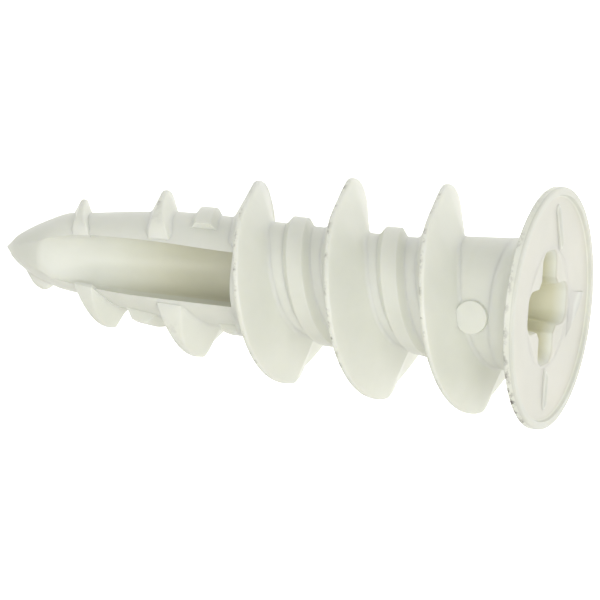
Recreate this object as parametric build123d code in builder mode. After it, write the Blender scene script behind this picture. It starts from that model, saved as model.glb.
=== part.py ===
from build123d import *
import math
import os

# Self-drilling plasterboard anchor, moulded in one shot of nylon and divided here into its working
# regions. +X runs along the axis from the drill point out through the head, +Z is up, and the origin is
# the centre of the head's front rim. Millimetres.

# Overall
length = 32.4
rim_radius = 6.5
rim_edge = 0.45
core_radius = 3.0
bore_radius = 1.5

# Stations along the axis
socket_base = -2.4
neck_end = -8.0
split_x = -17.5
nose_end = -21.5
point_base = -28.6

# Head and drive recess
neck_radius = 3.46
neck_top = -3.5
socket_radius = 3.25
land = 0.45
dish_step = 0.15
dish_depth = 0.32
wing_span = 6.2
wing_width = 2.3
wing_foot_span = 3.2
wing_foot_width = 1.3
recess_depth = 3.6
mouth_radius = 1.9
cone_foot_radius = 1.62
cone_seat = 0.4
dish_edge_chamfer = 0.1
overshoot = 0.2
rib_width = 0.35
rib_inner = 3.25
rib_outer = 5.6
rib_rise = 0.2
rib_upper_ends = ((1.45, 2.95), (0.35, rib_outer))
rib_lower_ends = ((0, -rib_inner), (0, -rib_outer))

# Threads: right hand, two starts half a pitch apart
pitch = 5.45
crest_width = 0.5
flank_angle = 19
high_near = -16.05
high_start = -29.6
taper_end = -13.325
taper_end_radius = 5.8
taper_slope = 0.188
high_end = -2.6
high_end_radius = 6.12
low_near = -13.43
low_radius = 3.43
low_crest = 1.0
low_flank_angle = 50
low_start = -23.8
low_end = -6.1
low_foot = 2.3
taper_foot = 0.6
straight_foot = 2.6
run_out_start = -3.6
run_out_end = -2.2
run_out_gap = 0.3

# Trough in the nose: level at first, then climbing to the outside as a ramp
trough_level = 0.5
trough_bend_radius = 15
ramp_angle = 20
ramp_run = 10
trough_depth = 7
lip_at_tip = -1.0
lip_at_nose_end = -2.5
lip_at_split = -2.58

# Drill point
tip_lug_half = 0.55

# Ejector mark on the neck
mark_radius = 0.9
mark_x = -3.5
mark_z = -0.35
mark_front = -3.72
mark_depth = 1.2


def outer_profile():
    """Half outline of the plain body, without threads, from the point to the rim, in X and Y."""
    Spline(
        (-length, 0), (-31.67, 0.74), (-30.5, 1.48), (-29.35, 1.98), (point_base, 2.18),
        tangents=((1, 1.1), (1, 0.12)),
    )
    Spline((point_base, 2.18), (-26.9, 2.34), (-24.5, 2.72), (nose_end, core_radius),
           tangents=((1, 0.12), (1, 0)))
    Line((nose_end, core_radius), (neck_end, core_radius))
    Spline((neck_end, core_radius), (-5.2, 3.34), (neck_top, neck_radius),
           tangents=((1, 0), (1, 0.08)))
    Spline((neck_top, neck_radius), (-1.6, 3.98), (-0.95, 5.1), (-rim_edge, rim_radius),
           tangents=((1, 0.08), (0.3, 1)))
    Polyline((-rim_edge, rim_radius), (0, rim_radius), (0, 0), (-length, 0))


def slice_of_body(start, end):
    """The plain body between two stations on the axis."""
    with BuildPart() as piece:
        with BuildSketch(Plane.XY):
            with BuildLine():
                outer_profile()
            make_face()
            with Locations(((start + end) / 2, rim_radius / 2)):
                Rectangle(end - start, rim_radius + overshoot, mode=Mode.INTERSECT)
        revolve(axis=Axis.X)
    return piece.part


def helix_frame(x, angle):
    """Plane across the axis at x, its own x direction turned by angle from +Y towards +Z."""
    a = math.radians(angle)
    return Plane(origin=(x, 0, 0), x_dir=(0, math.cos(a), math.sin(a)), z_dir=(1, 0, 0))


def ridge(near, start, end, start_radius, end_radius, crest, flank, foot_radius):
    """Helical ridge whose crest passes the near side (-Y) at near, from station start to end."""
    start_angle = 180 + (start - near) / pitch * 360
    cone = math.degrees(math.atan2(end_radius - start_radius, end - start))
    depth = start_radius - foot_radius
    spread = depth * math.tan(math.radians(flank))
    frame = helix_frame(start, start_angle)
    route = frame * Helix(pitch=pitch, height=end - start, radius=start_radius, cone_angle=cone)
    tangent = route % 0
    across = frame.x_dir - tangent * frame.x_dir.dot(tangent)
    with BuildPart() as piece:
        with BuildSketch(Plane(origin=route @ 0, x_dir=across, z_dir=tangent)):
            Polygon((0, -crest / 2), (0, crest / 2), (-depth, crest / 2 + spread),
                    (-depth, -crest / 2 - spread), align=None)
        sweep(path=route, is_frenet=True)
    return piece.part


# The bare body under the threads, in the three stretches that the threads are cut back to
with BuildPart() as bare_tube:
    with BuildSketch(Plane.YZ.offset(nose_end)):
        Circle(core_radius)
    extrude(amount=neck_top - nose_end)
bare_stretches = [slice_of_body(-length, nose_end), bare_tube.part, slice_of_body(neck_end, 0)]


def cut_back_to_body():
    """Take the bare body out of the piece being built, so that the two meet face to face."""
    for stretch in bare_stretches:
        add(stretch, mode=Mode.SUBTRACT)


# Cross recess, cone and screw bore, as one cutting body
with BuildPart() as drive_cut:
    for turn in (0, 90):
        with BuildSketch(Plane.YZ):
            Rectangle(wing_span, wing_width, rotation=turn)
        with BuildSketch(Plane.YZ.offset(-recess_depth)):
            Rectangle(wing_foot_span, wing_foot_width, rotation=turn)
        loft()
    with BuildSketch(Plane.XY):
        Polygon((overshoot, 0), (overshoot, mouth_radius), (-recess_depth, cone_foot_radius),
                (-recess_depth - cone_seat, bore_radius), (split_x, bore_radius), (split_x, 0),
                align=None)
    revolve(axis=Axis.X)

# Shallow dish of the face, inside the flat land of the rim
with BuildPart() as dish_cut:
    with BuildSketch(Plane.XY):
        dish_edge = rim_radius - land
        Polygon((overshoot, 0), (overshoot, dish_edge), (-dish_step, dish_edge - dish_edge_chamfer),
                (-dish_depth, rib_inner), (-dish_depth, 0), align=None)
    revolve(axis=Axis.X)

# Trough: the bore carried on into the nose, open towards -Y and climbing to the surface
with BuildPart() as trough_cut:
    with BuildLine() as trough_route:
        level = Line((split_x, 0), (split_x - trough_level, 0))
        bend = JernArc(level @ 1, level % 1, trough_bend_radius, ramp_angle)
        Line(bend @ 1, bend @ 1 + (bend % 1) * ramp_run)
    with BuildSketch(Plane.YZ.offset(split_x)):
        Circle(bore_radius)
        with Locations((-trough_depth / 2, 0)):
            Rectangle(trough_depth, 2 * bore_radius)
    sweep(path=trough_route.line)

# --- Head: flange, recess, ribs and neck ---
with BuildPart() as head_flange:
    add(slice_of_body(socket_base, 0))
    Cylinder(socket_radius, length, rotation=(0, 90, 0), mode=Mode.SUBTRACT)
    add(dish_cut.part, mode=Mode.SUBTRACT)

with BuildPart() as drive_socket:
    with BuildSketch(Plane.YZ.offset(socket_base)):
        Circle(socket_radius)
    extrude(amount=-socket_base - dish_depth)
    add(drive_cut.part, mode=Mode.SUBTRACT)

face_ribs = {}
for rib_name, (rib_start, rib_end) in (("face_rib_upper", rib_upper_ends), ("face_rib_lower", rib_lower_ends)):
    with BuildPart() as face_ribs[rib_name]:
        with BuildSketch(Plane.YZ.offset(-dish_depth)):
            with BuildLine():
                Line(rib_start, rib_end)
            trace(line_width=rib_width)
        extrude(amount=rib_rise)
        for neighbour in (head_flange, drive_socket):
            add(neighbour.part, mode=Mode.SUBTRACT)

with BuildPart() as neck:
    add(slice_of_body(neck_end, socket_base))
    add(drive_cut.part, mode=Mode.SUBTRACT)

# --- Threads ---
# The high start grows along the nose and is nearly even along the tube; the low start stays even.
taper_start_radius = taper_end_radius - taper_slope * (taper_end - high_start)
tapered_ridge = ridge(high_near, high_start, taper_end, taper_start_radius, taper_end_radius,
                      crest_width, flank_angle, taper_foot)
straight_ridge = ridge(high_near, taper_end, high_end, taper_end_radius, high_end_radius,
                       crest_width, flank_angle, straight_foot)
low_ridge = ridge(low_near, low_start, low_end, low_radius, low_radius,
                  low_crest, low_flank_angle, low_foot)
split_plane = Plane.YZ.offset(split_x)

with BuildPart() as run_out_cut:
    with BuildSketch(Plane.XY):
        clear_radius = neck_radius + run_out_gap
        Polygon((run_out_start, rim_radius), (run_out_end, clear_radius), (0, clear_radius),
                (0, rim_radius + overshoot), (run_out_start, rim_radius + overshoot), align=None)
    revolve(axis=Axis.X)

with BuildPart() as high_thread:
    add(tapered_ridge)
    split(bisect_by=split_plane, keep=Keep.TOP)
    add(straight_ridge)
    add(run_out_cut.part, mode=Mode.SUBTRACT)
    cut_back_to_body()

with BuildPart() as low_thread:
    add(low_ridge)
    split(bisect_by=split_plane, keep=Keep.TOP)
    cut_back_to_body()

with BuildPart() as core_tube:
    add(slice_of_body(split_x, neck_end))
    add(drive_cut.part, mode=Mode.SUBTRACT)

with BuildPart() as ejector_mark:
    with BuildSketch(Plane.XZ.offset(-mark_front)):
        with Locations((mark_x, mark_z)):
            Circle(mark_radius)
    extrude(amount=-mark_depth)
    cut_back_to_body()
    add(straight_ridge, mode=Mode.SUBTRACT)

# --- Nose: the hinged leg with its open trough ---
with BuildPart() as nose_shell:
    add(slice_of_body(point_base, split_x))
    add(trough_cut.part, mode=Mode.SUBTRACT)

with BuildPart() as drill_point:
    add(slice_of_body(-length, point_base))
    add(trough_cut.part, mode=Mode.SUBTRACT)

with BuildPart() as point_lug:
    with BuildSketch(Plane.XZ.offset(-tip_lug_half)):
        with BuildLine():
            Spline((-31.3, -0.6), (-30.7, -1.8), (-29.9, -2.35), (-29.2, -2.2), (-28.8, -1.2))
            Line((-28.8, -1.2), (-31.3, -0.6))
        make_face()
    extrude(amount=2 * tip_lug_half)
    cut_back_to_body()

# The nose's threads stop at a flat on the open side, level with the lips of the trough
with BuildPart() as open_side_cut:
    with BuildSketch(Plane.XY):
        Polygon((-length, lip_at_tip), (nose_end, lip_at_nose_end), (split_x, lip_at_split),
                (split_x, -trough_depth), (-length, -trough_depth), align=None)
    extrude(amount=rim_radius, both=True)

with BuildPart() as nose_turns:
    add(tapered_ridge)
    split(bisect_by=split_plane, keep=Keep.BOTTOM)
    cut_back_to_body()
    add(open_side_cut.part, mode=Mode.SUBTRACT)

with BuildPart() as nose_low_turns:
    add(low_ridge)
    split(bisect_by=split_plane, keep=Keep.BOTTOM)
    cut_back_to_body()
    add(open_side_cut.part, mode=Mode.SUBTRACT)

pieces = {
    "head_flange": head_flange, "drive_socket": drive_socket, **face_ribs, "neck": neck,
    "ejector_mark": ejector_mark, "core_tube": core_tube, "high_thread": high_thread,
    "low_thread": low_thread, "nose_shell": nose_shell, "drill_point": drill_point,
    "point_lug": point_lug,
}

# The trough parts each thread of the nose into separate turns, numbered from the point
for label, turns in (("nose_flight", nose_turns), ("nose_low_flight", nose_low_turns)):
    for number, turn in enumerate(turns.part.solids().sort_by(Axis.X), start=1):
        with BuildPart() as pieces[f"{label}_{number}"]:
            add(turn)

os.makedirs("parts", exist_ok=True)
for name, piece in pieces.items():
    piece.part.label = name
    export_step(piece.part, f"parts/{name}.step")
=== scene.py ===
import bmesh
import bpy
import math
from mathutils import Matrix, Vector


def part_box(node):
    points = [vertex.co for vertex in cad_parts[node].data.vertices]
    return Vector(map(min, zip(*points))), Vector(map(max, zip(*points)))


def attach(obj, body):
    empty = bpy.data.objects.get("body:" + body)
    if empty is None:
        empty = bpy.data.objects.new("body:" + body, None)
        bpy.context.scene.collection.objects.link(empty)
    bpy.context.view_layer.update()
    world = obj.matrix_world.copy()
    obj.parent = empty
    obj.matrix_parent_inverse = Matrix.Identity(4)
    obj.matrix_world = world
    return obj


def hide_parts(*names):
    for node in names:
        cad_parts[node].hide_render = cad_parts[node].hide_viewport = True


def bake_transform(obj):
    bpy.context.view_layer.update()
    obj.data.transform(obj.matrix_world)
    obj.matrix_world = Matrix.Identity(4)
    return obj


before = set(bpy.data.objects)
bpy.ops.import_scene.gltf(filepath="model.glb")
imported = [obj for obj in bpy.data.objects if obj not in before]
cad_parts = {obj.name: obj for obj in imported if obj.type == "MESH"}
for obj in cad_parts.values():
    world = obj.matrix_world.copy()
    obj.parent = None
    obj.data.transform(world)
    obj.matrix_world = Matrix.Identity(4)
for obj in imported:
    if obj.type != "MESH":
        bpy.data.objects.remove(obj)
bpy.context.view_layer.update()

# Lengths below are in millimetres in the row's frame, and meshes are made in metres from them.
MM = 0.001
TURN = 2 * math.pi

# --- Stations and sizes, from the frame where a node gives them ---
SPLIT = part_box("core_tube")[0][0] / MM
TUBE_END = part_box("core_tube")[1][0] / MM
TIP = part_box("drill_point")[0][0] / MM
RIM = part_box("head_flange")[1][2] / MM
FLANGE_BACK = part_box("head_flange")[0][0] / MM
SOCKET_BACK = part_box("drive_socket")[0][0] / MM

# Radii of the bore, of the bare tube and of the disc that holds the recess
BORE = 1.5
CORE = 3.0
SOCKET = 3.25

# The head's face: width of the flat land at the rim, station of the dish's middle, foot of the recess
LAND = 0.45
DISH = -0.32
RECESS_FOOT = -3.6

# Half outline of the bare body: (x, radius)
BODY = [(TIP, 0.0), (-32.1, 0.30), (-31.67, 0.74), (-30.5, 1.43), (-29.35, 1.91), (-28.6, 2.14),
        (-26.9, 2.34), (-24.5, 2.72), (-21.5, CORE), (-15, CORE), (-8, CORE), (-5.2, 3.34),
        (-3.5, 3.46), (-2.4, 3.56), (-1.9, 3.74), (-1.5, 4.08), (-1.15, 4.65), (-0.85, 5.45), (-0.5, RIM)]

# Both threads: pitch, how far their feet sink into the wall, and the step at the parting line underneath
PITCH = 5.45
SUNK = 0.006
ROOT_DEPTH = 0.2
PARTING = math.radians(1.5)

# Deep thread: crest radius along the axis, a crossing of the near side, ends and fade on the shank,
# flanks in degrees, rounding of crest and foot, and depth of the flat on its crest behind the top
CREST = [(-31, 2.2), (-27.8, 3.14), (-25.5, 3.88), (-23.0, 4.1), (-20.2, 4.88), (-17.75, 5.12),
         (-14.6, 5.75), (-12.4, 5.82), (-8.9, 5.97), (-3.5, 6.12)]
HIGH_NEAR = -16.1
HIGH_END, HIGH_START = -2.4, -19.6
HIGH_FADE_START, HIGH_FADE_RUN = -3.9, 1.5
FLANK, NOSE_FLANK = 21, 28
CREST_ROUND, FOOT_ROUND = 0.17, 0.32
TOP_FLAT = 0.34

# Past the parting line the deep thread holds back over this angle, at this multiple of its lead
HOLD = math.radians(24)
HOLD_RATE = 2.1

# Low thread: the same again, and half the width of its flat crest
LOW_NEAR = -13.43
LOW_CREST = 3.43
LOW_END, LOW_START = -5.9, -19.2
LOW_FADE_START, LOW_FADE_RUN = -7.2, 1.2
LOW_FLANK = 38
LOW_HALF_CREST = 0.38
LOW_CREST_ROUND, LOW_FOOT_ROUND = 0.12, 0.22

# Trough: half widths above and below, and where its floor lies
WIDTH_UP = [(-31, 0.35), (-30.6, 0.5), (-28.65, 0.98), (-27.4, 1.22), (-25.8, 1.42), (-22.5, 1.6),
            (-18.2, BORE)]
WIDTH_LOW = [(-31, 0.5), (-29.6, 1.0), (-28.6, 1.36), (-26.8, 1.55), (-24.8, 1.55), (-22, 1.5),
             (-18.2, BORE)]
FLOOR = [(-31, -1.4), (-30, -1.78), (-29, -1.62), (-28, -1.22), (-26.5, -0.6), (-24.5, 0.15), (-22, 0.95),
         (-20, 1.38), (-18.2, BORE)]

# The nose sits a little high near the point
NOSE_LIFT = [(TIP, 0), (-30.2, 0.04), (-28.8, 0.13), (-27, 0.13), (-24, 0.03), (-21, 0)]


def curve(points, x):
    """Smooth curve through (x, value) points, level outside them."""
    if x <= points[0][0]:
        return points[0][1]
    if x >= points[-1][0]:
        return points[-1][1]
    i = max(k for k in range(len(points) - 1) if points[k][0] <= x)

    def slope(k):
        low, high = max(k - 1, 0), min(k + 1, len(points) - 1)
        return (points[high][1] - points[low][1]) / (points[high][0] - points[low][0])

    (x0, v0), (x1, v1) = points[i], points[i + 1]
    span = x1 - x0
    t = (x - x0) / span
    return ((2 * t**3 - 3 * t**2 + 1) * v0 + (t**3 - 2 * t**2 + t) * span * slope(i)
            + (3 * t**2 - 2 * t**3) * v1 + (t**3 - t**2) * span * slope(i + 1))


def smooth(t):
    t = min(max(t, 0.0), 1.0)
    return t * t * (3 - 2 * t)


def steps(start, end, step):
    count = max(1, round(abs(end - start) / step))
    return [start + (end - start) * i / count for i in range(count + 1)]


def on_ring(x, radius, angle):
    """Point at that radius, its angle from the near side (-Y) towards the top (+Z)."""
    return (x, -radius * math.cos(angle), radius * math.sin(angle))


# --- Making pieces ---
def closed_object(name, vertices, faces, cut=(), wear=()):
    """Object with a closed mesh; cut holds (point, normal) planes, and what lies past each is removed.

    wear gives, for each vertex, how scuffed it is.
    """
    shape = bmesh.new()
    scuffed = shape.verts.layers.float.new("wear")
    made = [shape.verts.new((x * MM, y * MM, z * MM)) for x, y, z in vertices]
    for vertex, amount in zip(made, wear):
        vertex[scuffed] = amount
    for face in faces:
        if len(set(face)) > 2:
            shape.faces.new([made[i] for i in dict.fromkeys(face)])
    bmesh.ops.remove_doubles(shape, verts=shape.verts, dist=1e-7)
    for point, normal in cut:
        everything = shape.verts[:] + shape.edges[:] + shape.faces[:]
        bmesh.ops.bisect_plane(shape, geom=everything, plane_co=Vector(point) * MM, plane_no=normal,
                               clear_outer=True, dist=1e-8)
        bmesh.ops.holes_fill(shape, edges=[e for e in shape.edges if e.is_boundary], sides=0)
    bmesh.ops.recalc_face_normals(shape, faces=shape.faces)
    mesh = bpy.data.meshes.new(name)
    shape.to_mesh(mesh)
    shape.free()
    made_object = bpy.data.objects.new(name, mesh)
    bpy.context.scene.collection.objects.link(made_object)
    return made_object


def add_piece(name, vertices, faces, body, replaced=(), cut=(), crease=40, bevel=0.0, wear=(), cutter=None):
    """Nylon piece on a body, or, when body is "bending", on no body with its placing baked into the mesh;
    cutter hollows it, and edges past crease round.
    """
    piece = closed_object(name, vertices, faces, cut, wear)
    if cutter:
        hollowing = piece.modifiers.new("hollowing", "BOOLEAN")
        hollowing.object = cutter
        hollowing.solver = "EXACT"
    if bevel:
        rounding = piece.modifiers.new("rounding", "BEVEL")
        rounding.width = bevel * MM
        rounding.segments = 2
        rounding.limit_method = "ANGLE"
        rounding.angle_limit = math.radians(crease)
        rounding.use_clamp_overlap = True
    if bevel or cutter:
        depsgraph = bpy.context.evaluated_depsgraph_get()
        rounded = bpy.data.meshes.new_from_object(piece.evaluated_get(depsgraph))
        piece.modifiers.clear()
        piece.data = rounded
    if cutter:
        bpy.data.objects.remove(cutter)
    piece.data.materials.clear()
    piece.data.materials.append(NYLON)
    for polygon in piece.data.polygons:
        polygon.use_smooth = True
    piece.data.set_sharp_from_angle(angle=math.radians(crease))
    if body == "bending":
        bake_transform(piece)
    else:
        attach(piece, body)
    if replaced:
        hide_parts(*replaced)


def tube(rings, closed_loop=False):
    """Vertices and faces of a skin through rings of equal count, wrapped round and capped at both ends."""
    count = len(rings[0])
    vertices = [v for ring in rings for v in ring]
    faces = []
    for i in range(len(rings) - (0 if closed_loop else 1)):
        a, b = i * count, ((i + 1) % len(rings)) * count
        faces += [(a + j, a + (j + 1) % count, b + (j + 1) % count, b + j) for j in range(count)]
    if not closed_loop:
        faces.append(tuple(range(count)))
        faces.append(tuple(range((len(rings) - 1) * count, len(rings) * count)))
    return vertices, faces


def crest_wear(rings, patches):
    """Scuffing along the crest of a thread: strongest just on the tip's side of it, in patches."""
    per_ring = len(rings[0])
    middle = (per_ring - 3) / 2
    across = [math.exp(-((j - middle + 1.5) / 2.0) ** 2) if j < per_ring - 2 else 0 for j in range(per_ring)]
    along = [0.45 + 0.55 * max(0, math.sin(patches * i) * math.sin(0.37 * patches * i + 1))
             for i in range(len(rings))]
    return [a * b for a in along for b in across]


def turned(name, outline, body, replaced, segments=144, **options):
    """Solid of revolution about the axis, from a closed half outline of (x, radius) points."""
    rings = [[on_ring(x, r, TURN * k / segments) for x, r in outline] for k in range(segments)]
    vertices, faces = tube(rings, closed_loop=True)
    add_piece(name, vertices, faces, body, replaced, **options)


def arc(cx, cr, radius, start, end, count=6):
    """Points of an arc in the half outline's plane, angles in degrees from +X towards +radius."""
    return [(cx + radius * math.cos(math.radians(a)), cr + radius * math.sin(math.radians(a)))
            for a in steps(start, end, abs(end - start) / count)]


def flight_section(height, flank, crest_half, crest_round, root, scale=1.0):
    """Half section of a thread, from crest to foot: (offset along the axis, height over the body)."""
    a = math.radians(flank)
    crest_round = min(crest_round, 0.5 * height)
    top = height - crest_round
    points = [(crest_half + crest_round * math.cos(t), top + crest_round * math.sin(t))
              for t in steps(math.pi / 2, a, (math.pi / 2 - a) / 5)]
    u1, h1 = points[-1]
    root = min(root, 0.8 * h1)
    run = (h1 - root * (1 - math.sin(a))) / math.cos(a)
    u2 = u1 + run * math.sin(a)
    centre = u2 + root * math.cos(a)
    points += [(u1 + (u2 - u1) * t, h1 + (root * (1 - math.sin(a)) - h1) * t) for t in (0.25, 0.5, 0.75)]
    points += [(centre - root * math.cos(t), root - root * math.sin(t))
               for t in steps(a, math.pi / 2, (math.pi / 2 - a) / 5)]
    return [(u * scale, h * scale) for u, h in points]


def flight_angles(first, last, step=math.radians(4)):
    """Angles of a thread's rings, with a close pair where it passes the parting line underneath."""
    plain_angles = steps(first, last, step)
    underneath = [-TURN / 4 - TURN * k for k in range(-3, 5)]
    near_parting = [a for a in underneath if min(first, last) < a - PARTING and a < max(first, last)]
    kept = [a for a in plain_angles if all(abs(a - p + PARTING / 2) > PARTING for p in near_parting)]
    return sorted(kept + [a for p in near_parting for a in (p, p - PARTING)], reverse=first > last)


def flight(near, first, last, section_at, lead=None):
    """Rings of a thread from angle first to last; near is where it crosses the near side at angle 0.

    Angles grow from the near side towards the top, against the thread's advance, so x falls with them.
    """
    rings = []
    for angle in flight_angles(first, last):
        centre = near - PITCH * (lead(angle) if lead else angle) / TURN
        tip_half, head_half = section_at(centre, angle)
        ring = []
        for u, h in [(-u, h) for u, h in reversed(tip_half)] + head_half[1:]:
            x = centre + u
            ring.append(on_ring(x, curve(BODY, x) + h - SUNK, angle))
        for u in (head_half[-1][0], -tip_half[-1][0]):
            x = centre + u
            ring.append(on_ring(x, curve(BODY, x) - ROOT_DEPTH, angle))
        rings.append(ring)
    return rings


# --- Material ---
def new_material(name):
    material = bpy.data.materials.new(name)
    material.use_nodes = True
    nodes, links = material.node_tree.nodes, material.node_tree.links
    nodes.clear()
    return material, nodes, links


def noise(nodes, links, place, scale, detail=3.0, roughness=0.55):
    texture = nodes.new("ShaderNodeTexNoise")
    texture.inputs["Scale"].default_value = scale
    texture.inputs["Detail"].default_value = detail
    texture.inputs["Roughness"].default_value = roughness
    links.new(place, texture.inputs["Vector"])
    return texture.outputs["Fac"]


def ramp(nodes, links, value, stops):
    colours = nodes.new("ShaderNodeValToRGB")
    elements = colours.color_ramp.elements
    while len(elements) < len(stops):
        elements.new(0.5)
    for element, (position, colour) in zip(elements, stops):
        element.position = position
        element.color = (*colour, 1)
    links.new(value, colours.inputs["Fac"])
    return colours.outputs["Color"]


def between(nodes, links, value, low, high, soft):
    """1 where value lies between low and high, with edges that soft."""
    edges = []
    for start, end in ((low - soft, low + soft), (high + soft, high - soft)):
        edge = nodes.new("ShaderNodeMapRange")
        edge.inputs["From Min"].default_value, edge.inputs["From Max"].default_value = start, end
        links.new(value, edge.inputs["Value"])
        edges.append(edge.outputs["Result"])
    both = nodes.new("ShaderNodeMath")
    both.operation = "MULTIPLY"
    links.new(edges[0], both.inputs[0])
    links.new(edges[1], both.inputs[1])
    return both.outputs["Value"]


def paint_shade_in_zone(nodes, links, place, colour, low, high, radius, soft, shade):
    """Paint shade: multiply the colour by shade within a radius of the axis, from station low to high."""
    parts = nodes.new("ShaderNodeSeparateXYZ")
    links.new(place, parts.inputs["Vector"])
    across = nodes.new("ShaderNodeCombineXYZ")
    links.new(parts.outputs["Y"], across.inputs["Y"])
    links.new(parts.outputs["Z"], across.inputs["Z"])
    length = nodes.new("ShaderNodeVectorMath")
    length.operation = "LENGTH"
    links.new(across.outputs["Vector"], length.inputs[0])
    deep = between(nodes, links, parts.outputs["X"], low * MM, high * MM, soft * MM)
    inside = between(nodes, links, length.outputs["Value"], -1 * MM, radius * MM, 0.04 * MM)
    mask = nodes.new("ShaderNodeMath")
    mask.operation = "MULTIPLY"
    links.new(deep, mask.inputs[0])
    links.new(inside, mask.inputs[1])
    tint = nodes.new("ShaderNodeMix")
    tint.data_type = "RGBA"
    tint.blend_type = "MULTIPLY"
    links.new(mask.outputs["Value"], tint.inputs["Factor"])
    links.new(colour, tint.inputs["A"])
    tint.inputs["B"].default_value = (*shade, 1)
    return tint.outputs["Result"]


# Painted shade multiplied into the colour: on the land of the rim, which catches the lamps, in the floor of
# the dish, the recess and the deep end of the trough, each from station to station, within a radius, with
# edges that soft and a shade
PAINTED_SHADE_ZONES = ((-0.16, 0.1, 6.7, 0.02, (0.85, 0.85, 0.85)),
         (-0.42, -0.21, 5.98, 0.02, (0.88, 0.86, 0.85)),
         (-3.9, -0.8, 3.4, 0.3, (0.92, 0.89, 0.74)),
         (-24.0, -16.0, 1.8, 2.0, (0.945, 0.925, 0.84)))


def nylon():
    """Natural nylon: milky, faintly green, lightly mottled, with painted shade on the rim land and in its
    hollows, and a soft moulded satin surface.
    """
    material, nodes, links = new_material("nylon")
    place = nodes.new("ShaderNodeTexCoord").outputs["Object"]
    shader = nodes.new("ShaderNodeBsdfPrincipled")
    output = nodes.new("ShaderNodeOutputMaterial")
    links.new(shader.outputs["BSDF"], output.inputs["Surface"])
    cloud = noise(nodes, links, place, 260, 4.0)
    colour = ramp(nodes, links, cloud, [(0.3, (0.72, 0.735, 0.655)), (0.7, (0.785, 0.795, 0.715))])
    # painted shade on the rim land, in the dish, the recess and the deep end of the trough
    for low, high, radius, soft, shade in PAINTED_SHADE_ZONES:
        colour = paint_shade_in_zone(nodes, links, place, colour, low, high, radius, soft, shade)
    worn = nodes.new("ShaderNodeAttribute")
    worn.attribute_name = "wear"
    speckle = noise(nodes, links, place, 1900, 5.0, 0.7)
    flecks = ramp(nodes, links, speckle, [(0.5, (0, 0, 0)), (0.62, (1, 1, 1))])
    scuffs = nodes.new("ShaderNodeMath")
    scuffs.operation = "MULTIPLY"
    links.new(worn.outputs["Fac"], scuffs.inputs[0])
    links.new(flecks, scuffs.inputs[1])
    marked = nodes.new("ShaderNodeMix")
    marked.data_type = "RGBA"
    links.new(scuffs.outputs["Value"], marked.inputs["Factor"])
    links.new(colour, marked.inputs["A"])
    marked.inputs["B"].default_value = (0.10, 0.085, 0.075, 1)
    links.new(marked.outputs["Result"], shader.inputs["Base Color"])
    grain = noise(nodes, links, place, 1500, 3.0)
    gloss = nodes.new("ShaderNodeMapRange")
    gloss.inputs["To Min"].default_value = 0.34
    gloss.inputs["To Max"].default_value = 0.52
    links.new(cloud, gloss.inputs["Value"])
    links.new(gloss.outputs["Result"], shader.inputs["Roughness"])
    bump = nodes.new("ShaderNodeBump")
    bump.inputs["Strength"].default_value = 0.12
    bump.inputs["Distance"].default_value = 0.00004
    links.new(grain, bump.inputs["Height"])
    links.new(bump.outputs["Normal"], shader.inputs["Normal"])
    shader.inputs["Subsurface Weight"].default_value = 0.35
    shader.inputs["Subsurface Radius"].default_value = (1.0, 0.95, 0.7)
    shader.inputs["Subsurface Scale"].default_value = 0.0006
    shader.inputs["IOR"].default_value = 1.53
    shader.inputs["Specular IOR Level"].default_value = 0.4
    return material


NYLON = nylon()


# --- Shank ---
def body_outline(start, end, inner, step=0.15):
    """Closed half outline of a stretch of the bare body down to a bore of that radius."""
    outside = [(x, curve(BODY, x)) for x in steps(start, end, step)]
    return outside + [(end, inner), (start, inner)]


turned("core_tube", body_outline(SPLIT, TUBE_END, BORE, 0.5), "shank", ("core_tube",))


def neck(seat=-4.0):
    """Neck, with the foot of the recess, which narrows to the bore at the seat."""
    outside = [(x, curve(BODY, x)) for x in steps(TUBE_END, FLANGE_BACK, 0.12)]
    inside = [(FLANGE_BACK, 1.85), (RECESS_FOOT, 1.62), (seat, BORE), (TUBE_END, BORE)]
    turned("neck", outside + inside, "shank", ("neck",))


neck()


def head_flange(segments=192, scuffed_at=305):
    """Rim, land, dish and flare; its edge is scuffed all round, and most at that angle in degrees."""
    flare = [(x, curve(BODY, x)) for x in steps(FLANGE_BACK, -0.6, 0.06)]
    rim = arc(-0.42, RIM - 0.07, 0.07, 165, 90, 4) + arc(-0.11, RIM - 0.11, 0.11, 90, 0, 5)
    edge = RIM - LAND
    land = arc(-0.06, edge + 0.08, 0.06, 0, -80, 4)
    step = [(-0.17, edge - 0.02), (-0.22, edge - 0.07), (-0.24, edge - 0.2)]
    dish = [(-0.26, 5.2), (-0.28, 4.4), (-0.3, 3.7), (DISH, SOCKET)]
    outline = flare + rim + land + step + dish + [(FLANGE_BACK, SOCKET)]
    across = [math.exp(-((x + 0.42) / 0.14) ** 2) if r > RIM - 0.2 else 0 for x, r in outline]
    scuffs = []
    for k in range(segments):
        most = math.exp(-((math.degrees(TURN * k / segments) - scuffed_at) / 28) ** 2)
        scuffs += [(0.3 + most) * amount for amount in across]
    turned("head_flange", outline, "shank", ("head_flange",), segments=segments, wear=scuffs)


head_flange()


# --- Threads ---
def held(angle):
    """Lead of the deep thread: past the parting line underneath it holds back, then catches up behind."""
    past = (-TURN / 4 - angle) % TURN
    return angle + HOLD_RATE * (past if past < HOLD else HOLD * (1 - smooth((past - HOLD) / (TURN / 4))))


def faded(centre, start, run):
    """Scale of a thread's section, which shrinks to almost nothing over a run towards the head."""
    return 1 - 0.97 * smooth((centre - start) / run)


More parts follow.
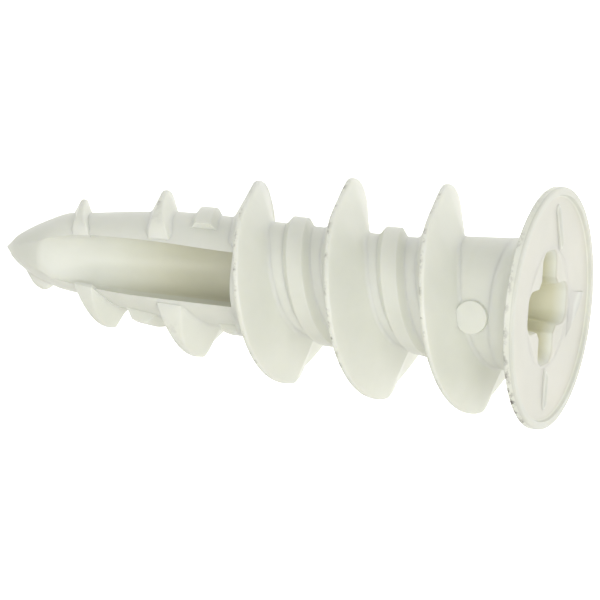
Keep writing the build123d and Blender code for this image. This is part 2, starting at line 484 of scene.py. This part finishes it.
def high_section(centre, angle, fade=1.0, share=1.0, blunt=0.02, flank=FLANK):
    """Both halves of the deep thread's section; where it has grown to a share only, its crest is wide."""
    from_top = (TURN / 4 - angle) % TURN
    flat = TOP_FLAT * math.sin(4 * from_top) if from_top < TURN / 8 else 0
    full = curve(CREST, centre) - flat - curve(BODY, centre)
    half_crest = blunt + 0.8 * (1 - share) * full * math.tan(math.radians(flank))
    return [flight_section(share * full, flank, half_crest, CREST_ROUND, FOOT_ROUND, fade)] * 2


def high_on_shank(centre, angle):
    return high_section(centre, angle, faded(centre, HIGH_FADE_START, HIGH_FADE_RUN))


def high_on_nose(centre, angle):
    """The deep thread grows out of the trough's lips, on both sides of the opening."""
    from_near = abs((angle + TURN / 2) % TURN - TURN / 2)
    grown = (math.degrees(from_near) - 34) / 50
    share = max(math.sin(TURN / 4 * min(max(grown, 0), 1)), 0.04)
    return high_section(centre, angle, share=share, blunt=0.03, flank=NOSE_FLANK)


def low_section(centre, angle):
    height = max(LOW_CREST - curve(BODY, centre), 0.12)
    fade = faded(centre, LOW_FADE_START, LOW_FADE_RUN)
    return [flight_section(height, LOW_FLANK, LOW_HALF_CREST, LOW_CREST_ROUND, LOW_FOOT_ROUND, fade)] * 2


def angle_at(near, x):
    """Angle at which a thread passes station x."""
    return (near - x) / PITCH * TURN


def shank_threads():
    cut = (((SPLIT, 0, 0), (-1, 0, 0)),)
    rings = flight(HIGH_NEAR, angle_at(HIGH_NEAR, HIGH_END), angle_at(HIGH_NEAR, HIGH_START),
                   high_on_shank, held)
    vertices, faces = tube(rings)
    add_piece("high_thread", vertices, faces, "shank", ("high_thread",), cut=cut, wear=crest_wear(rings, 0.9))
    vertices, faces = tube(flight(LOW_NEAR, angle_at(LOW_NEAR, LOW_END), angle_at(LOW_NEAR, LOW_START),
                                  low_section))
    add_piece("low_thread", vertices, faces, "shank", ("low_thread",), cut=cut)


shank_threads()


# --- Nose ---
def nose_ring(x, around=72, across=30):
    """Section of the nose: outside from the upper lip over the back to the lower one, then the trough."""
    radius = curve(BODY, x)
    lift = curve(NOSE_LIFT, x)
    up = min(curve(WIDTH_UP, x), 0.75 * radius)
    low = min(curve(WIDTH_LOW, x), 0.75 * radius)
    upper, lower = math.asin(up / radius), -math.asin(low / radius)
    ring = [on_ring(x, radius, a) for a in steps(upper, TURN + lower, (TURN + lower - upper) / around)]
    lip_up, lip_low = -radius * math.cos(upper), -radius * math.cos(lower)
    floor = max(curve(FLOOR, x), -radius + 0.03)
    for t in steps(math.pi, 0, math.pi / across):
        share = (1 - math.cos(t)) / 2
        lip = lip_up + (lip_low - lip_up) * share
        half = (up + low) / 2
        depth = floor - lip
        wall = max(depth - half, 0)
        z = (up - low) / 2 + half * math.cos(t)
        ring.append((x, lip + wall + (depth - wall) * math.sin(t), z))
    return [(x, y, z + lift) for x, y, z in ring]


def nose_shell():
    stations = steps(SPLIT, -31.0, 0.2) + steps(-31.1, TIP + 0.02, 0.12)
    vertices, faces = tube([nose_ring(x) for x in stations])
    add_piece("nose_shell", vertices, faces, "bending", ("nose_shell", "drill_point"), crease=50)


nose_shell()


def spread_lead(angle):
    """The deep thread runs out faster along the axis between the underside and the lower lip."""
    return held(angle) + 0.3 * max(angle + TURN / 4, 0)


def nose_flights():
    """Turns that the trough parts, numbered from the tip; each has its ends in degrees from the near side."""
    cut = (((SPLIT, 0, 0), (1, 0, 0)),)
    high = ((-200, -324, 0.56, "nose"), (-35, -324, 0, "nose"), (-35, -324, 0, "bending"))
    for number, (start, end, shift, body) in enumerate(high, start=1):
        near = HIGH_NEAR - PITCH * (len(high) + 1 - number) + shift
        rings = flight(near, math.radians(start), math.radians(end), high_on_nose, spread_lead)
        vertices, faces = tube(rings)
        scuffs = [0.6 * amount * smooth((abs(z) - 2.3) / 0.8)
                  for amount, (x, y, z) in zip(crest_wear(rings, 1.1), vertices)]
        name = f"nose_flight_{number}"
        add_piece(name, vertices, faces, body, (name,), cut=cut, wear=scuffs)
    low = ((-62, -305, "nose"), (-62, -150, "bending"))
    for number, (start, end, body) in enumerate(low, start=1):
        near = LOW_NEAR - PITCH * (len(low) + 1 - number)
        vertices, faces = tube(flight(near, math.radians(start), math.radians(end), low_section))
        name = f"nose_low_flight_{number}"
        add_piece(name, vertices, faces, body, (name,), cut=cut)


nose_flights()


def point_lug(start=-31.25, end=-29.1, half_width=0.55):
    """Rounded cutting lobe under the point."""
    outline = [(start, 0.8), (-30.9, 1.38), (-30.55, 1.9), (-30.1, 2.15), (-29.8, 2.15), (-29.5, 1.95),
               (end, 1.5)]
    rings = []
    for x in steps(start, end, 0.12):
        base = 0.5 * curve(BODY, x)
        deep = max(curve(outline, x), base + 0.1)
        rings.append([(x, half_width * math.cos(t), -base - (deep - base) * abs(math.sin(t))**0.8)
                      for t in steps(0, math.pi, math.pi / 16)])
    vertices, faces = tube(rings)
    add_piece("point_lug", vertices, faces, "nose", ("point_lug",))


point_lug()


# --- Small features of the shank ---
def ejector_mark(x=-3.3, z=-0.37, radius=0.89, front=-3.79):
    """Round pad on the near side of the neck; front is where its face lies."""
    outline = [(front + 0.9, radius), (front + 0.05, radius), (front + 0.015, radius - 0.015),
               (front, radius - 0.05)]
    rings = [[(x + r * math.cos(t), y, z + r * math.sin(t)) for t in steps(0, TURN, TURN / 48)[:-1]]
             for y, r in outline]
    vertices, faces = tube(rings)
    add_piece("ejector_mark", vertices, faces, "shank", ("ejector_mark",))


ejector_mark()


def rounded_slot(x, half_y, half_z, corner):
    """Rounded rectangle across the axis at x."""
    ring = []
    for sy, sz, start in ((1, 1, 0), (-1, 1, 90), (-1, -1, 180), (1, -1, 270)):
        for a in steps(start, start + 90, 15):
            t = math.radians(a)
            ring.append((x, sy * (half_y - corner) + corner * math.cos(t),
                         sz * (half_z - corner) + corner * math.sin(t)))
    return ring


def drive_cutter():
    """Cross recess with rounded wings that narrow inwards, round a conical middle."""
    parts = []
    for name, upright in (("wing_upright", True), ("wing_level", False)):
        rings = []
        for x, long, short in ((0.3, 3.16, 1.2), (DISH, 3.1, 1.15), (-2.4, 2.1, 0.82),
                               (RECESS_FOOT, 1.6, 0.65)):
            sizes = (short, long) if upright else (long, short)
            rings.append(rounded_slot(x, *sizes, 0.6 * short))
        parts.append(closed_object(name, *tube(rings)))
    cone = [[on_ring(x, r, TURN * k / 64) for k in range(64)]
            for x, r in ((0.3, 1.96), (DISH, 1.9), (-2.4, 1.71), (RECESS_FOOT, 1.62))]
    parts.append(closed_object("cone", *tube(cone)))
    first, *others = parts
    for other in others:
        union = first.modifiers.new("union", "BOOLEAN")
        union.operation, union.object, union.solver = "UNION", other, "EXACT"
    joined = bpy.data.meshes.new_from_object(first.evaluated_get(bpy.context.evaluated_depsgraph_get()))
    first.modifiers.clear()
    first.data = joined
    for other in others:
        bpy.data.objects.remove(other)
    return first


def drive_socket(under_dish=0.3):
    """Disc with the cross recess; it runs on a little under the dish, so that no seam shows."""
    rings = [[on_ring(x, SOCKET + under_dish, TURN * k / 96) for k in range(96)] for x in (SOCKET_BACK, DISH)]
    vertices, faces = tube(rings)
    add_piece("drive_socket", vertices, faces, "shank", ("drive_socket",), bevel=0.13,
              cutter=drive_cutter())


drive_socket()


def face_rib(name, inner, outer):
    """Low rounded rib on the dish, from the recess out to the land; its ends are (y, z)."""
    inner, outer = Vector(inner), Vector(outer)
    along = (outer - inner).normalized()
    aside = Vector((along.y, -along.x))
    length = (outer - inner).length
    rings = []
    for d in steps(0, length, 0.13):
        end = min(1, d / 0.45, (length - d) / 0.45)
        rise = 0.03 + 0.27 * math.sqrt(max(end, 0.02))
        half = 0.2 + 0.1 * d / length
        centre = inner + along * d
        rings.append([(DISH - 0.05 + rise * math.sin(t), *(centre + aside * half * math.cos(t)))
                      for t in steps(0, math.pi, math.pi / 10)])
    vertices, faces = tube(rings)
    add_piece(name, vertices, faces, "shank", (name,))


face_rib("face_rib_upper", (1.45, 2.95), (0.35, 5.58))
face_rib("face_rib_lower", (0, -3.3), (0, -5.58))


def face_facet(sunk=DISH - 0.03):
    """Shallow facet on the dish, on the far side of the recess, highest along its slanted edge."""
    inner, outer, middle, low = (3.5, 0.5), (5.15, 0.25), (4.15, -0.9), (3.1, -2.0)
    top = [(DISH + 0.01, *inner), (-0.13, *outer), (-0.14, *middle), (DISH + 0.02, *low)]
    foot = [(sunk, inner[0] - 0.02, inner[1] + 0.02), (sunk, outer[0] + 0.25, outer[1] + 0.05),
            (sunk, middle[0] + 0.28, middle[1] - 0.12), (sunk, low[0] + 0.05, low[1] - 0.15)]
    faces = [(0, 1, 2, 3), (0, 4, 5, 1), (1, 5, 6, 2), (2, 6, 7, 3), (3, 7, 4, 0), (7, 6, 5, 4)]
    add_piece("face_facet", top + foot, faces, "shank", crease=60)


face_facet()


# --- Camera, light and floor ---
def aim(thing, at, roll=0.0):
    back = (thing.location - Vector(at)).normalized()
    turn = back.to_track_quat("Z", "Y") @ Matrix.Rotation(roll, 3, "Z").to_quaternion()
    thing.rotation_mode = "QUATERNION"
    thing.rotation_quaternion = turn


def camera():
    azimuth, elevation, roll = math.radians(22.35), math.radians(8.5), math.radians(3.0)
    target = Vector((-15.9, 0, 0)) * MM
    back = Vector((math.sin(azimuth) * math.cos(elevation), -math.cos(azimuth) * math.cos(elevation),
                   math.sin(elevation)))
    data = bpy.data.cameras.new("camera")
    data.lens, data.sensor_width = 275.2, 36
    data.shift_x, data.shift_y = 0.03567, -0.03767
    data.clip_start, data.clip_end = 0.01, 10
    eye = bpy.data.objects.new("camera", data)
    bpy.context.scene.collection.objects.link(eye)
    eye.location = target + back * 250 * MM
    aim(eye, target, roll)
    bpy.context.scene.camera = eye


camera()


def floor_white():
    """Matt white that glows behind the anchor and fades to a plain pale grey in front of it."""
    material, nodes, links = new_material("floor_white")
    shader = nodes.new("ShaderNodeBsdfPrincipled")
    output = nodes.new("ShaderNodeOutputMaterial")
    links.new(shader.outputs["BSDF"], output.inputs["Surface"])
    shader.inputs["Base Color"].default_value = (0.72, 0.71, 0.69, 1)
    shader.inputs["Roughness"].default_value = 0.9
    shader.inputs["Emission Color"].default_value = (1, 1, 1, 1)
    parts = nodes.new("ShaderNodeSeparateXYZ")
    links.new(nodes.new("ShaderNodeTexCoord").outputs["Object"], parts.inputs["Vector"])
    glow = nodes.new("ShaderNodeMapRange")
    glow.inputs["From Min"].default_value, glow.inputs["From Max"].default_value = 10 * MM, 50 * MM
    glow.inputs["To Max"].default_value = 0.9
    links.new(parts.outputs["Y"], glow.inputs["Value"])
    links.new(glow.outputs["Result"], shader.inputs["Emission Strength"])
    return material


def backdrop():
    """Floor well below the anchor, curving up into a white back wall."""
    floor, reach, back, height, bend = -40, 900, 260, 500, 120
    turns = steps(0, math.pi / 2, math.pi / 24)[1:]
    outline = [(-reach, floor), (back - bend, floor)]
    outline += [(back - bend + bend * math.sin(t), floor + bend - bend * math.cos(t)) for t in turns]
    outline.append((back, height))
    mesh = bpy.data.meshes.new("floor")
    vertices = [(x * MM, y * MM, z * MM) for y, z in outline for x in (-reach, reach)]
    faces = [(2 * i, 2 * i + 1, 2 * i + 3, 2 * i + 2) for i in range(len(outline) - 1)]
    mesh.from_pydata(vertices, [], faces)
    mesh.materials.append(floor_white())
    mesh.polygons.foreach_set("use_smooth", [True] * len(mesh.polygons))
    piece = bpy.data.objects.new("floor", mesh)
    bpy.context.scene.collection.objects.link(piece)


backdrop()


def area_light(name, place, size, power):
    data = bpy.data.lights.new(name, "AREA")
    data.shape, data.size, data.energy = "DISK", size * MM, power
    lamp = bpy.data.objects.new(name, data)
    bpy.context.scene.collection.objects.link(lamp)
    lamp.location = Vector(place) * MM
    aim(lamp, Vector((-16, 0, 0)) * MM)


area_light("right_light", (165, -175, -45), 140, 0.28)
area_light("front_light", (30, -240, -30), 140, 0.3)
area_light("top_light", (-60, -60, 260), 220, 0.008)

world = bpy.data.worlds.new("world")
bpy.context.scene.world = world
world.use_nodes = True
world.node_tree.nodes["Background"].inputs["Color"].default_value = (1, 1, 1, 1)
world.node_tree.nodes["Background"].inputs["Strength"].default_value = 0.6
bpy.context.scene.view_settings.view_transform = "Standard"

bpy.context.view_layer.update()
